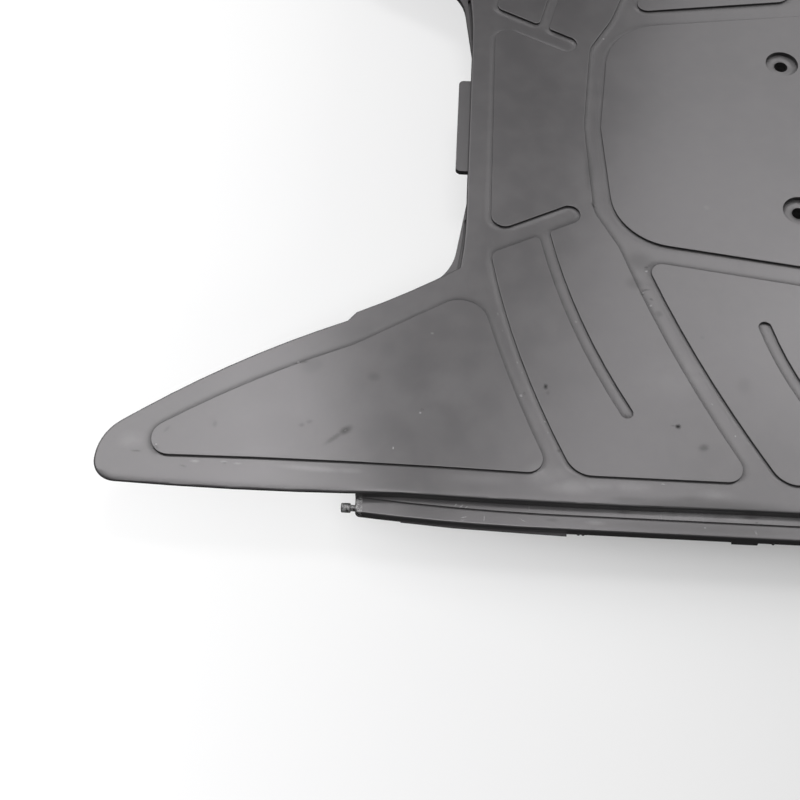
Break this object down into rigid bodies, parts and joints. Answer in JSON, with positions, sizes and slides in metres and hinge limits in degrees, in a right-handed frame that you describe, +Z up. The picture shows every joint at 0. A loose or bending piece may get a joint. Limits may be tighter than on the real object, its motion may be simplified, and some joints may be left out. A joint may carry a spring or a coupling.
{
  "type": "scooter floorboard",
  "caption": "Moulded scooter floorboard with raised tread panels between shallow channels, swept rear wings, stepped side flanges with headed pegs, and a ribbed underside with screw bosses.",
  "frame": {"origin": "middle of the board in plan, in the plane of the boss and post feet under the deck", "axes": "+X forward along the scooter, +Y across the board to its left side, +Z up out of the tread"},
  "size_m": [0.4, 0.4218, 0.0216],
  "materials": {
    "dark_plastic": "satin moulded plastic with a fine grain, scuffs and smears"
  },
  "bodies": {
    "root": {"floorboard": "dark_plastic"}
  },
  "joints": []
}
